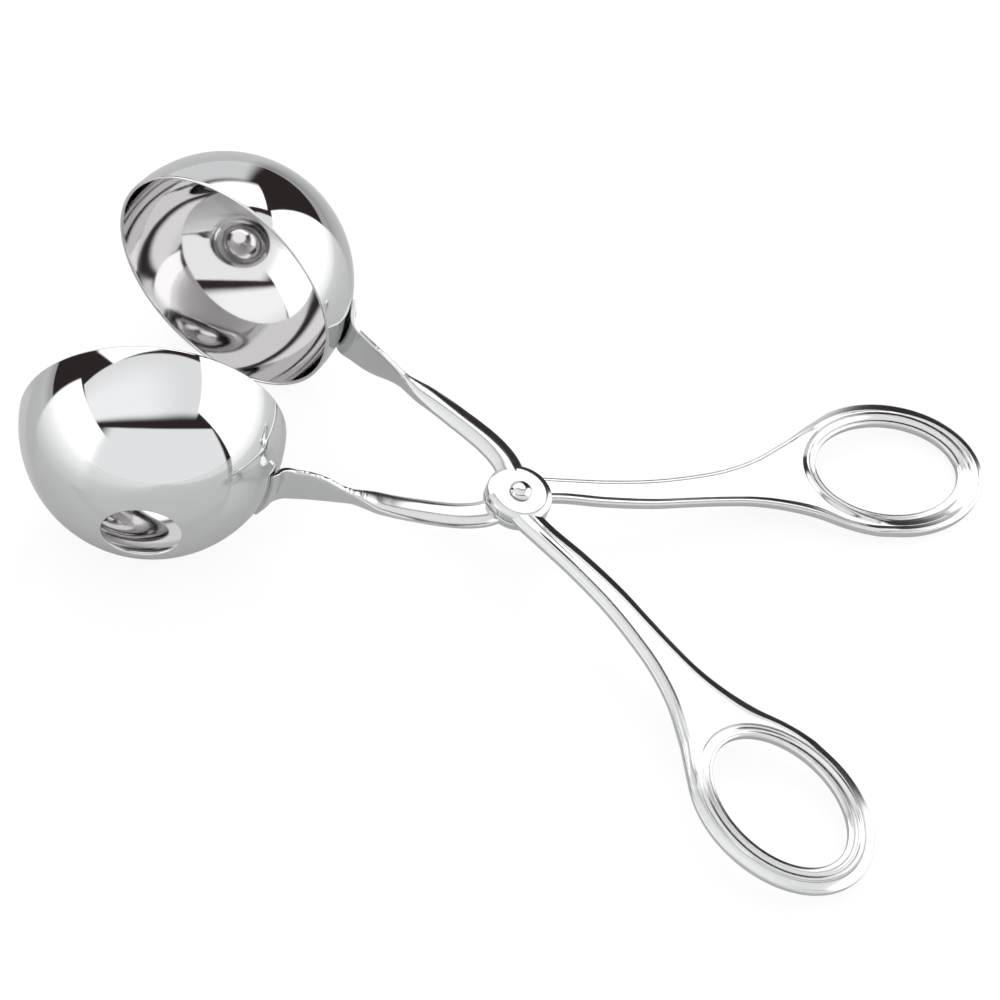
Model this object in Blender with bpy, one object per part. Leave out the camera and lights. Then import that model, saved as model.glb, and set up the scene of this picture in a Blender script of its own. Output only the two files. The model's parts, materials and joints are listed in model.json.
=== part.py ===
"""Meatball tongs: two scissor levers on one rivet, each with a welded half-ball cup.

Every lever is drawn shut, in its own frame: the origin is where the rivet's axis crosses the joint
face between the two levers, +Z runs up the rivet, the cups lie towards -X and the finger rings
towards +X. The upper lever holds its cup on the +Y side and the lower lever is its mirror image.
Two empties swing the levers apart and a third tilts the whole tool until it lies on the floor.
"""
import math

import bmesh
import bpy
import numpy as np
from mathutils import Matrix

MM = 0.001

# Cups: spun half balls with a straight band at the rim and a round vent at the pole
CUP_RADIUS = 22.5 * MM
CUP_WALL = 0.6 * MM
CUP_REACH = 64.1 * MM
CUP_RISE = 1.55 * MM
CUP_ROLL = math.radians(4.4)
CUP_BAND = 0.7 * MM
VENT_RADIUS = 6.7 * MM

# Rivet and the bosses that it joins
HALF_OPENING = math.radians(16.3)
BOSS_RADIUS = 5.8 * MM
BOSS_THICKNESS = 1.9 * MM
BOSS_SHOULDER = 1.1 * MM
BOSS_DROP = 0.8 * MM
BOSS_ROUNDING = 0.3 * MM
JOINT_CLEARANCE = 0.2 * MM
BORE_RADIUS = 1.3 * MM
SHANK_CLEARANCE = 0.05 * MM
HEAD_RADIUS = 2.0 * MM
HEAD_HEIGHT = 1.1 * MM
TAIL_HEIGHT = 0.7 * MM
HEAD_CLEARANCE = 0.1 * MM

# Arms: half-round bars, pressed into a tall thin strip that ends in a foot on the cup
ARM_BOW = 6.1 * MM
ARM_WIDTH = 5.1 * MM
ARM_THICKNESS = 1.8 * MM
ARM_INSET = 0.15 * MM
STRIP_THICKNESS = 1.1 * MM
STRIP_HEIGHT = 7.5 * MM
STRIP_LEVEL = 0.5 * MM
BEND_RADIUS = 2.3 * MM
FOOT_HEIGHT = 11.6 * MM
FOOT_LENGTH = 1.7 * MM
FOOT_THICKNESS = 0.55 * MM
WELD_CLEARANCE = 0.25 * MM

# Handles: plates with a bead along each edge and a flat panel between
HANDLE_THICKNESS = 1.75 * MM
HANDLE_INSET = 0.1 * MM
BEAD_WIDTH = 1.4 * MM
BEAD_HEIGHT = 1.62 * MM
PANEL_HEIGHT = 1.25 * MM
WALL_LEVEL = 0.75 * MM
UNDER_ROUNDING = 0.3 * MM

# Finger rings: an oval hole, a ridge round it, and the handle's edge bead outside that
RING_REACH = 67.8 * MM
RING_OFFSET = 21.3 * MM
RING_RISE = 0.84 * MM
RING_TILT = math.radians(15.6)
HOLE_LENGTH = 27.2 * MM
HOLE_WIDTH = 19.8 * MM
RIDGE_BAND = 2.7 * MM
RIDGE_CREST = 1.7 * MM
LIP_WIDTH = 0.9 * MM
LIP_HEIGHT = 1.55 * MM
CREASE_HEIGHT = 1.35 * MM
RIM_LENGTH = 35.9 * MM
RIM_WIDTH = 28.8 * MM
RIM_FORWARD = 0.4 * MM
RIM_ASIDE = 0.3 * MM

# Arm centre line, from the boss to the foot: share of the arm's length, share of its bow
ARM_LINE_SHARES = ((0.085, 0.42), (0.15, 0.66), (0.20, 0.767), (0.25, 0.836),
                   (0.35, 0.898), (0.43, 0.918), (0.50, 0.938), (0.575, 0.945), (0.65, 0.934), (0.70, 0.936),
                   (0.75, 0.942), (0.80, 0.950), (0.85, 0.953), (0.90, 0.955), (0.95, 0.972), (1.0, 1.0))
# Along the arm: how far its width is from the strip's towards the bar's
ARM_WIDTH_SHARES = ((0.0, 1.0), (0.25, 1.0), (0.38, 0.96), (0.48, 0.90), (0.56, 0.82), (0.625, 0.71),
                    (0.675, 0.44), (0.72, 0.17), (0.77, 0.04), (0.85, 0.0), (1.0, 0.0))
# Along the arm: how far the bar has become the tall strip, in height and in level
PRESSED_SHARES = ((0.0, 0.0), (0.56, 0.0), (0.63, 0.04), (0.68, 0.10), (0.73, 0.18), (0.77, 0.32), (0.817, 0.52),
                  (0.865, 0.73), (0.91, 0.86), (1.0, 1.0))
LEVEL_SHARES = ((0.0, 0.0), (0.55, 0.0), (0.62, 0.12), (0.68, 0.3), (0.74, 0.40), (0.78, 0.48), (0.82, 0.70),
                (0.87, 0.9), (0.92, 1.0), (1.0, 1.0))

# Handle edges, from the boss to the ring: share of the ring's reach, share of its offset
INNER_EDGE_SHARES = ((-0.03, -0.05), (0.0, -0.02), (0.05, 0.026), (0.105, 0.068), (0.235, 0.115),
                     (0.37, 0.191), (0.46, 0.267), (0.55, 0.339), (0.635, 0.393), (0.725, 0.409), (0.815, 0.384),
                     (0.885, 0.335), (0.93, 0.315), (0.975, 0.311))
OUTER_EDGE_SHARES = ((-0.03, 0.18), (0.0, 0.22), (0.05, 0.272), (0.105, 0.300), (0.235, 0.366), (0.37, 0.467),
                     (0.46, 0.566), (0.55, 0.690), (0.635, 0.860), (0.725, 1.115))
# Where the neck starts to widen, and where its edges run into the ring's outer oval
NECK_SHARE = 0.725
INNER_JOIN = math.radians(262)
OUTER_JOIN = math.radians(128)

# How finely the surfaces are divided
CUP_STEPS = 48
CUP_RINGS = 12
BOSS_STEPS = 36
RIVET_STEPS = 24
ARM_STEPS = 26
BEND_STEPS = 8
FOOT_STEPS = 4
BAR_STEPS = 16
SHANK_STEPS = 15
NECK_STEPS = 8
RING_STEPS = 28
CURVE_STEPS = 24

LEVER_GAP = JOINT_CLEARANCE / 2


def clear_scene():
    for item in list(bpy.data.objects):
        bpy.data.objects.remove(item, do_unlink=True)


def finish(name, colour, roughness):
    """A plated steel finish."""
    material = bpy.data.materials.new(name)
    material.use_nodes = True
    shader = material.node_tree.nodes["Principled BSDF"]
    shader.inputs["Base Color"].default_value = (*colour, 1.0)
    shader.inputs["Metallic"].default_value = 1.0
    shader.inputs["Roughness"].default_value = roughness
    return material


def through(shares, across, along, at):
    """A smooth line through points given as shares of two sizes, read at the given shares."""
    table = np.array(shares)
    slopes = np.gradient(table[:, 1], table[:, 0])
    place = np.clip(np.searchsorted(table[:, 0], at) - 1, 0, len(table) - 2)
    left, right = table[place], table[place + 1]
    span = right[:, 0] - left[:, 0]
    t = (at - left[:, 0]) / span
    rise = (left[:, 1] * (1 + 2 * t) * (1 - t) ** 2 + slopes[place] * span * t * (1 - t) ** 2
            + right[:, 1] * t * t * (3 - 2 * t) - slopes[place + 1] * span * t * t * (1 - t))
    return np.stack([across * at, along * rise], axis=1)


def level(shares, at):
    """Shares read straight between the listed points."""
    table = np.array(shares)
    return np.interp(at, table[:, 0], table[:, 1])


def evenly(line, count):
    """Resample a line at equal distances."""
    run = np.concatenate([[0.0], np.cumsum(np.linalg.norm(np.diff(line, axis=0), axis=1))])
    at = np.linspace(0.0, run[-1], count)
    return np.stack([np.interp(at, run, line[:, axis]) for axis in range(line.shape[1])], axis=1)


def oval(forward, aside, length, width, angle):
    """Points of an oval about the finger hole, which leans with the ring."""
    ahead, across = length / 2 * np.cos(angle), width / 2 * np.sin(angle)
    lean, tip = math.cos(RING_TILT), math.sin(RING_TILT)
    return np.stack([RING_REACH + forward + ahead * lean - across * tip,
                     RING_OFFSET + aside + ahead * tip + across * lean], axis=-1)


def rim(angle):
    """Points of the ring's outer oval."""
    return oval(RIM_FORWARD, RIM_ASIDE, RIM_LENGTH, RIM_WIDTH, angle)


def round_hole(margin, angle):
    """Points of an oval at a steady margin round the finger hole."""
    return oval(0.0, 0.0, HOLE_LENGTH + 2 * margin, HOLE_WIDTH + 2 * margin, angle)


def tidy(name, vertices, faces, mirrored=False):
    """One closed mesh from faces that share edges, with its faces pointing out."""
    mesh = bpy.data.meshes.new(name)
    mesh.from_pydata([tuple(point) for point in vertices], [], faces)
    work = bmesh.new()
    work.from_mesh(mesh)
    if mirrored:
        work.transform(Matrix.Scale(-1, 4, (0, 1, 0)))
    bmesh.ops.remove_doubles(work, verts=work.verts, dist=MM / 1000)
    bmesh.ops.holes_fill(work, edges=[edge for edge in work.edges if edge.is_boundary])
    bmesh.ops.recalc_face_normals(work, faces=work.faces)
    work.to_mesh(mesh)
    work.free()
    mesh.shade_smooth()
    mesh.set_sharp_from_angle(angle=math.radians(40))
    return mesh


def grid_faces(rows, columns, closed_rows=False, closed_columns=False):
    """Four-sided faces between neighbouring rows and columns of points."""
    faces = []
    for row in range(rows if closed_rows else rows - 1):
        for column in range(columns if closed_columns else columns - 1):
            here, ahead = row * columns, (row + 1) % rows * columns
            beside = (column + 1) % columns
            faces.append((here + column, here + beside, ahead + beside, ahead + column))
    return faces


def turned(name, profile, steps, closed):
    """A profile of (radius, height) points turned about Z; a closed one leaves a hole in the middle."""
    angle = np.linspace(0.0, 2 * math.pi, steps, endpoint=False)[:, None]
    radius, height = np.array(profile).T
    points = np.stack([radius * np.cos(angle), radius * np.sin(angle), height + 0 * angle], axis=-1)
    faces = grid_faces(steps, len(profile), closed_rows=True, closed_columns=closed)
    return tidy(name, points.reshape(-1, 3), faces)


def quarter(start, end, steps, rises_first):
    """A quarter of an ellipse between two (distance, height) points, without its first point."""
    angle = np.linspace(0.0, math.pi / 2, steps + 1)[1:]
    across, up = (1 - np.cos(angle), np.sin(angle)) if rises_first else (np.sin(angle), 1 - np.cos(angle))
    return np.stack([start[0] + (end[0] - start[0]) * across, start[1] + (end[1] - start[1]) * up], axis=1)


def cup_mesh(name):
    """A band and a half ball whose open side faces -Z, from the rim to the edge of the vent."""
    def wall(radius):
        angle = np.linspace(0.0, math.pi / 2 - math.asin(VENT_RADIUS / radius), CUP_RINGS + 1)
        return np.vstack([(radius, -CUP_BAND), np.stack([radius * np.cos(angle), radius * np.sin(angle)], axis=1)])
    outside, inside = wall(CUP_RADIUS), wall(CUP_RADIUS - CUP_WALL)
    return turned(name, np.vstack([outside, inside[::-1]]), CUP_STEPS, closed=True)


def boss_mesh(name, face, outward):
    """A disc from the joint face outwards; its outer face has a broad rounded shoulder."""
    outer = face + outward * BOSS_THICKNESS
    corner = BOSS_RADIUS - BOSS_ROUNDING
    inside = quarter((BOSS_RADIUS, face + outward * BOSS_ROUNDING), (corner, face), 2, rises_first=True)
    shoulder = quarter((BOSS_RADIUS, outer - outward * BOSS_DROP), (BOSS_RADIUS - BOSS_SHOULDER, outer), 5,
                       rises_first=True)
    profile = [(0.0, face), *inside[::-1], (BOSS_RADIUS, face + outward * BOSS_ROUNDING),
               (BOSS_RADIUS, outer - outward * BOSS_DROP), *shoulder, (0.0, outer)]
    return turned(name, profile, BOSS_STEPS, closed=False)


def rivet_mesh(name):
    """A shank with a domed head above the upper boss and a flatter peened tail below the lower one."""
    seat = LEVER_GAP + BOSS_THICKNESS + HEAD_CLEARANCE
    shank = BORE_RADIUS - SHANK_CLEARANCE
    head = quarter((HEAD_RADIUS, seat), (0.0, seat + HEAD_HEIGHT), 6, rises_first=True)
    tail = quarter((HEAD_RADIUS, -seat), (0.0, -seat - TAIL_HEIGHT), 5, rises_first=True)
    profile = [*tail[::-1], (HEAD_RADIUS, -seat), (shank, -seat), (shank, seat), (HEAD_RADIUS, seat), *head]
    return turned(name, profile, RIVET_STEPS, closed=False)


def bar_loop(width, low, high, squareness, count):
    """A bar's section: rounded on top and nearly square below, or squarer all round once pressed."""
    angle = np.linspace(0.0, 2 * math.pi, count, endpoint=False)
    across, up = np.cos(angle), np.sin(angle)
    above, below = 2.0 + 4.0 * squareness, 6.0
    power = np.where(up >= 0, above, below)
    waist = low + (high - low) * (0.2 + 0.3 * squareness)
    side = width / 2 * np.sign(across) * np.abs(across) ** (2 / power)
    lift = np.abs(up) ** (2 / power)
    return side, np.where(up >= 0, waist + (high - waist) * lift, waist - (waist - low) * lift)


def arm_path():
    """Centre line of an arm in plan: out along the bow, round the bend and along the cup's side."""
    along = np.linspace(ARM_LINE_SHARES[0][0], 1.0, ARM_STEPS + 1)
    face = CUP_RADIUS + WELD_CLEARANCE
    strip = face + STRIP_THICKNESS / 2
    reach = CUP_REACH - math.sqrt(strip ** 2 - ARM_BOW ** 2)
    line = through(ARM_LINE_SHARES, -(reach - BEND_RADIUS), ARM_BOW, along)
    first = math.asin((ARM_BOW + BEND_RADIUS) / strip)
    angle = np.linspace(first, first + FOOT_LENGTH / strip, FOOT_STEPS)
    thickness = np.linspace(STRIP_THICKNESS, FOOT_THICKNESS, FOOT_STEPS)
    foot = (face + thickness[:, None] / 2) * np.stack([np.cos(angle), np.sin(angle)], axis=1)
    foot[:, 0] -= CUP_REACH
    corner = np.array([-reach, ARM_BOW])
    t = np.linspace(0.0, 1.0, BEND_STEPS + 2)[1:-1, None]
    bend = line[-1] * (1 - t) ** 2 + 2 * corner * t * (1 - t) + foot[0] * t ** 2
    return along, line, bend, foot, thickness


def arm_mesh(name, low, mirrored):
    """The arm as one swept bar; its bar levels start at low and move to the strip's level."""
    along, line, bend, foot, thickness = arm_path()
    path = np.vstack([line, bend, foot])
    tail = len(bend) + len(foot)
    flare = np.linspace(0.0, 1.0, tail)
    pressed = np.concatenate([level(PRESSED_SHARES, along), np.ones(tail)])
    bar = STRIP_THICKNESS + (ARM_WIDTH - STRIP_THICKNESS) * level(ARM_WIDTH_SHARES, along)
    width = np.concatenate([bar, np.full(len(bend), STRIP_THICKNESS), thickness])
    height = ARM_THICKNESS + (STRIP_HEIGHT - ARM_THICKNESS) * pressed
    height[-tail:] += (FOOT_HEIGHT - STRIP_HEIGHT) * flare
    shift = np.concatenate([level(LEVEL_SHARES, along), np.ones(tail)])
    middle = (low + ARM_THICKNESS / 2) * (1 - shift) + STRIP_LEVEL * shift
    wrap = np.concatenate([np.zeros(len(line)), np.linspace(0.0, 1.0, len(bend)), np.ones(len(foot))])
    heading = np.gradient(path, axis=0)
    heading /= np.linalg.norm(heading, axis=1)[:, None]
    loops = []
    for step, centre in enumerate(path):
        side, up = bar_loop(width[step], middle[step] - height[step] / 2, middle[step] + height[step] / 2,
                            min(1.0, 2 * pressed[step]), BAR_STEPS)
        x = centre[0] - heading[step, 1] * side + CUP_REACH
        y = centre[1] + heading[step, 0] * side
        reach = np.hypot(x, y)
        hug = np.sqrt(np.maximum(reach ** 2 - (up - CUP_RISE) ** 2, 0.0)) / reach
        hug = 1 - wrap[step] * (1 - hug)
        loops.append(np.stack([x * hug - CUP_REACH, y * hug, up], axis=1))
    faces = grid_faces(len(path), BAR_STEPS, closed_columns=True)
    return tidy(name, np.vstack(loops), faces, mirrored)


def handle_lines():
    """Plan of a handle and ring as four matching lines: edge, inner line, ridge line and finger hole."""
    edges = []
    for shares, join in ((INNER_EDGE_SHARES, INNER_JOIN), (OUTER_EDGE_SHARES, OUTER_JOIN)):
        shank = through(shares, RING_REACH, RING_OFFSET, np.linspace(shares[0][0], NECK_SHARE, SHANK_STEPS + 1))
        neck = through(shares, RING_REACH, RING_OFFSET, np.linspace(NECK_SHARE, shares[-1][0], CURVE_STEPS))
        neck = evenly(np.vstack([neck, rim(join)[None]]), NECK_STEPS + 1)
        edges.append((shank, neck[1:]))
    (near, near_neck), (far, far_neck) = edges
    spine = (near + far) / 2
    spine += (round_hole(RIDGE_BAND, math.pi) - spine[-1]) * np.linspace(0, 1, len(spine))[:, None] ** 2
    near_angle = np.linspace(math.pi, INNER_JOIN, NECK_STEPS + 1)
    far_angle = np.linspace(OUTER_JOIN, math.pi, NECK_STEPS + 1) + 2 * math.pi
    round_angle = np.linspace(near_angle[-1], far_angle[0], RING_STEPS + 1)[1:-1]
    edge = np.vstack([near, near_neck, rim(round_angle), far_neck[::-1], far[::-1]])
    angle = np.concatenate([near_angle, round_angle, far_angle])
    ridge = round_hole(RIDGE_BAND, angle)
    inner = np.vstack([spine[:-1], ridge, spine[:-1][::-1]])
    return edge, inner, ridge, round_hole(0.0, angle)


def ribbon(outer, inner, section):
    """Carry a section of (distance from the outer line, height) points between two matching lines."""
    span = np.linalg.norm(inner - outer, axis=1)[:, None]
    reach = np.minimum(section[:, 0], span) / span
    plan = outer[:, None] + (inner - outer)[:, None] * reach[..., None]
    return np.concatenate([plan, np.broadcast_to(section[:, 1, None], plan.shape[:2] + (1,))], axis=2)


def handle_mesh(name, low, mirrored):
    """Handle plate and finger ring: edge bead and panel outside, ridge and lip round the hole."""
    edge, inner, ridge_line, hole = handle_lines()
    wall, crest = (0.0, WALL_LEVEL), (BEAD_WIDTH / 2, BEAD_HEIGHT)
    under = quarter(wall, (UNDER_ROUNDING, 0.0), 2, rises_first=True)
    bead = np.vstack([wall, quarter(wall, crest, 3, rises_first=True),
                      quarter(crest, (BEAD_WIDTH, PANEL_HEIGHT), 2, rises_first=False)])
    far = RING_REACH
    border = np.vstack([(far, 0.0), under[::-1], bead, (far, PANEL_HEIGHT)])
    lip_crest, crease = (LIP_WIDTH / 2, LIP_HEIGHT), (LIP_WIDTH, CREASE_HEIGHT)
    top = (RIDGE_CREST, HANDLE_THICKNESS)
    ridge = np.vstack([wall, quarter(wall, lip_crest, 2, rises_first=True),
                       quarter(lip_crest, crease, 2, rises_first=False),
                       quarter(crease, top, 2, rises_first=True),
                       quarter(top, (RIDGE_BAND, PANEL_HEIGHT), 3, rises_first=False)])
    ridge[-1, 0] = far
    collar = np.vstack([(far, 0.0), under[::-1], ridge])
    outside, inside = ribbon(edge, inner, border), ribbon(hole, ridge_line, collar)
    points, faces = [], []
    for part, closed in ((outside, False), (inside, False)):
        start = sum(len(block) for block in points)
        points.append(part.reshape(-1, 3))
        faces += [tuple(start + corner for corner in face) for face in grid_faces(*part.shape[:2])]
    points = np.vstack(points)
    points[:, 2] += low + RING_RISE * np.clip(points[:, 0], 0, None) / RING_REACH
    points[:, 1] *= -1
    return tidy(name, points, faces, mirrored)


def form(name, mesh, parent):
    """A guide shape that another object's Boolean reads; it is not a piece."""
    guide = bpy.data.objects.new(name, mesh)
    guide.hide_render = True
    guide.display_type = "WIRE"
    guide.parent = parent
    bpy.context.collection.objects.link(guide)
    return guide


def combine(piece, guide, operation):
    cut = piece.modifiers.new(guide.name, "BOOLEAN")
    cut.operation = operation
    cut.solver = "EXACT"
    cut.object = guide


def piece(name, mesh, material, parent):
    item = bpy.data.objects.new(name, mesh)
    mesh.materials.append(material)
    item.parent = parent
    bpy.context.collection.objects.link(item)
    return item


def empty(name, parent=None):
    item = bpy.data.objects.new(name, None)
    item.parent = parent
    bpy.context.collection.objects.link(item)
    return item


def lever(side, outward, material, parent):
    """One lever: handle and ring, with the arm and the boss united to it and the rivet's bore cut."""
    mirrored = outward < 0
    face = outward * LEVER_GAP
    low = min(face, face + outward * BOSS_THICKNESS)
    item = piece(side + "_lever", handle_mesh(side + "_handle", low + HANDLE_INSET, mirrored), material, parent)
    arm = form(side + "_arm_form", arm_mesh(side + "_arm", low + ARM_INSET, mirrored), parent)
    boss = form(side + "_boss_form", boss_mesh(side + "_boss", face, outward), parent)
    overrun = BOSS_THICKNESS
    bore = turned(side + "_bore", [(0.0, low - overrun), (BORE_RADIUS, low - overrun),
                                   (BORE_RADIUS, low + 2 * overrun), (0.0, low + 2 * overrun)],
                  BOSS_STEPS, closed=False)
    combine(item, boss, "UNION")
    combine(item, arm, "UNION")
    combine(item, form(side + "_bore_form", bore, parent), "DIFFERENCE")
    return item


def cup(side, mirrored, material, parent):
    """A cup, turned so that its open side faces the other cup; both lean alike, so that they shut flush."""
    item = piece(side + "_cup", cup_mesh(side + "_cup"), material, parent)
    item.location = (-CUP_REACH, 0.0, CUP_RISE)
    item.rotation_euler = (math.radians(90 if mirrored else -90) + CUP_ROLL, 0.0, 0.0)
    return item


def corners(items):
    """World places of every corner of the given objects."""
    bpy.context.view_layer.update()
    blocks = []
    for item in items:
        points = np.empty(len(item.data.vertices) * 3)
        item.data.vertices.foreach_get("co", points)
        place = np.array(item.matrix_world)
        blocks.append(points.reshape(-1, 3) @ place[:3, :3].T + place[:3, 3])
    return np.vstack(blocks)


def lay_down(tool, cups, levers):
    """Tilt the tool until its cups and its lower ring touch the same floor, and centre it there."""
    low, high = 0.0, math.radians(30)
    for _ in range(40):
        tool.rotation_euler = (0.0, (low + high) / 2, 0.0)
        if corners(cups)[:, 2].min() < corners(levers)[:, 2].min():
            low = tool.rotation_euler[1]
        else:
            high = tool.rotation_euler[1]
    points = corners(cups + levers)
    middle = (points.min(axis=0) + points.max(axis=0)) / 2
    tool.location = (-middle[0], -middle[1], -points[:, 2].min())
    bpy.context.view_layer.update()


def build():
    clear_scene()
    lever_finish = finish("lever_chrome", (0.82, 0.82, 0.83), 0.08)
    cup_finish = finish("cup_chrome", (0.84, 0.84, 0.85), 0.04)
    rivet_finish = finish("rivet_steel", (0.80, 0.80, 0.80), 0.15)
    tool = empty("tool")
    upper, lower = empty("upper_side", tool), empty("lower_side", tool)
    upper.rotation_euler = (0.0, 0.0, -HALF_OPENING)
    lower.rotation_euler = (0.0, 0.0, HALF_OPENING)
    levers = [lever("upper", 1, lever_finish, upper), lever("lower", -1, lever_finish, lower)]
    cups = [cup("upper", False, cup_finish, upper), cup("lower", True, cup_finish, lower)]
    piece("pivot_rivet", rivet_mesh("pivot_rivet"), rivet_finish, lower)
    lay_down(tool, cups, levers)
    for item in (tool, upper, lower):
        print(item.name, [round(value, 5) for value in item.matrix_world.translation])
    print("tilt", round(math.degrees(tool.rotation_euler[1]), 3))


build()
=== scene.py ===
# %% [markdown]
# # Meatball tongs in chrome-plated steel
# Two scissor levers turn on one rivet. Each lever ends in a finger ring on one side and in a spun
# half-ball cup on the other. Chrome shows almost nothing but its surroundings, so this lesson spends its
# effort on two things: surfaces that are smooth enough to mirror cleanly, and a studio worth mirroring.

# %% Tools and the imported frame
import json
import math

import bmesh
import bpy
import numpy as np
from mathutils import Matrix


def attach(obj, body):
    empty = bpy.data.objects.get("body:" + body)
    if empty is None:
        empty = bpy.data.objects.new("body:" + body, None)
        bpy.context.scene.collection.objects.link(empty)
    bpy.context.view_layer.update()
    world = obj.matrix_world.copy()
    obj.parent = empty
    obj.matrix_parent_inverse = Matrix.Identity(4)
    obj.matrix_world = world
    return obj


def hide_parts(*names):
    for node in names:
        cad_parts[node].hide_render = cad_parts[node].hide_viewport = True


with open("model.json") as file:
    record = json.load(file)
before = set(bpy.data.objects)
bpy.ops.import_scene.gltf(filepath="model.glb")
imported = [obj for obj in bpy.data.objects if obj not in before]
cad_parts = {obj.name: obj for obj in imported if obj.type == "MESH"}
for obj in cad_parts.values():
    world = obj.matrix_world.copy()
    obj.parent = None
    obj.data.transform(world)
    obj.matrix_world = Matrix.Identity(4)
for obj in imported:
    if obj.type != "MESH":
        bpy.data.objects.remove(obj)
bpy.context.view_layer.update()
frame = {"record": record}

# %% [markdown]
# ## Sizes
# All lengths are in metres. Outlines, places and thicknesses are those of the solid model, so the fine
# surfaces lie where the solids lie. Three things differ. The arms are 0.25 mm slimmer, the feet sit 0.2 mm
# closer to the cups, and each lever has a relief of its own. It lies up to 0.3 mm from the solid's surface
# on the arms and up to 0.6 mm on the handles, most of all at the ridge of the lower ring.

# %% Named sizes of cups, rivet and bosses
MM = 0.001

CUP_RADIUS = 22.5 * MM
CUP_WALL = 0.6 * MM
CUP_REACH = 64.1 * MM
CUP_RISE = 1.55 * MM
CUP_ROLL = math.radians(4.4)
CUP_BAND = 0.7 * MM
VENT_RADIUS = 6.7 * MM

HALF_OPENING = math.radians(16.3)
LEVER_GAP = 0.1 * MM
BOSS_RADIUS = 5.8 * MM
BOSS_THICKNESS = 1.9 * MM
BOSS_CROWN = 1.1 * MM
BOSS_FALL = 0.27 * MM
BOSS_CORNER = 0.25 * MM
BOSS_DROP = 0.8 * MM
BOSS_ROUNDING = 0.3 * MM
HEAD_RADIUS = 2.0 * MM
HEAD_HEIGHT = 1.1 * MM
HEAD_ROUNDING = 0.12 * MM
HEAD_SQUARENESS = (3.0, 1.7)
TAIL_HEIGHT = 0.7 * MM
HEAD_CLEARANCE = 0.1 * MM
SHANK_RADIUS = 1.25 * MM
radii = {"cups": CUP_RADIUS, "bosses": BOSS_RADIUS, "rivet head": HEAD_RADIUS}
print("mm across:", {name: round(2 * radius / MM, 1) for name, radius in radii.items()})

# %% Named sizes of the arms
ARM_BOW = 6.1 * MM
ARM_WIDTH = 4.85 * MM
ARM_CROWN = 0.62 * MM
ARM_ROUNDNESS = {"upper": (2.3, 1.15), "lower": (3.4, 1.3)}
ARM_THICKNESS = 1.8 * MM
ARM_INSET = 0.15 * MM
STRIP_THICKNESS = 1.1 * MM
STRIP_HEIGHT = 7.5 * MM
STRIP_LEVEL = 0.5 * MM
STRIP_SQUARENESS = 6.0
RIPPLE_LENGTH = 1.1 * MM
RIPPLE_DEPTHS = {"upper": 0.006 * MM, "lower": 0.035 * MM}
RIPPLE_WANDER = 1.7
RIPPLE_WANDER_SHARE = 0.37
RIPPLE_SLANT = 0.9 / MM
BEND_RADIUS = 2.3 * MM
FOOT_HEIGHT = 11.6 * MM
FOOT_LENGTH = 1.7 * MM
FOOT_THICKNESS = 0.55 * MM
WELD_CLEARANCE = 0.05 * MM

# Places along the arm, as shares of its length, each with its share of bow, width, pressing or lift.
ARM_LINE_SHARES = ((0.085, 0.42), (0.15, 0.66), (0.20, 0.767), (0.25, 0.836),
                   (0.35, 0.898), (0.43, 0.918), (0.50, 0.938), (0.575, 0.945), (0.65, 0.934), (0.70, 0.936),
                   (0.75, 0.942), (0.80, 0.950), (0.85, 0.953), (0.90, 0.955), (0.95, 0.972), (1.0, 1.0))
ARM_WIDTH_SHARES = ((0.0, 1.0), (0.25, 1.0), (0.38, 0.96), (0.48, 0.90), (0.56, 0.82), (0.625, 0.71),
                    (0.675, 0.44), (0.72, 0.17), (0.77, 0.04), (0.85, 0.0), (1.0, 0.0))
PRESSED_SHARES = ((0.0, 0.0), (0.56, 0.0), (0.63, 0.04), (0.68, 0.10), (0.73, 0.18), (0.77, 0.32),
                  (0.817, 0.52), (0.865, 0.73), (0.91, 0.86), (1.0, 1.0))
RIPPLE_SHARES = ((0.66, 0.0), (0.73, 1.0), (0.90, 1.0), (0.98, 0.0))
LEVEL_SHARES = ((0.0, 0.0), (0.55, 0.0), (0.62, 0.12), (0.68, 0.3), (0.74, 0.40), (0.78, 0.48), (0.82, 0.70),
                (0.87, 0.9), (0.92, 1.0), (1.0, 1.0))
print("arm", round(ARM_WIDTH / MM, 2), "mm wide, its strip", round(STRIP_HEIGHT / MM, 2), "mm tall")

# %% Named sizes of the handles and finger rings
HANDLE_INSET = 0.1 * MM
PANEL_STARTS = {"upper": 5.8 * MM, "lower": -0.4 * MM}
PANEL_RUNS = {"upper": 10.0 * MM, "lower": 6.2 * MM}
PANEL_SUPPORTS = (0.04 * MM, 0.25 * MM)
CREST_LIMIT_SHARE = 0.96
UNDER_ROUNDING = 0.3 * MM
UNDER_HEIGHT = 0.6 * MM
LIP_ARC_SHARE = 1 / 3

RING_REACH = 67.8 * MM
RING_OFFSET = 21.3 * MM
RING_RISE = 0.84 * MM
RING_TILT = math.radians(15.6)
HOLE_LENGTH = 27.2 * MM
HOLE_WIDTH = 19.8 * MM
RIDGE_BAND = 2.7 * MM
RIM_LENGTH = 35.9 * MM
RIM_WIDTH = 28.8 * MM
RIM_FORWARD = 0.4 * MM
RIM_ASIDE = 0.3 * MM

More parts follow.
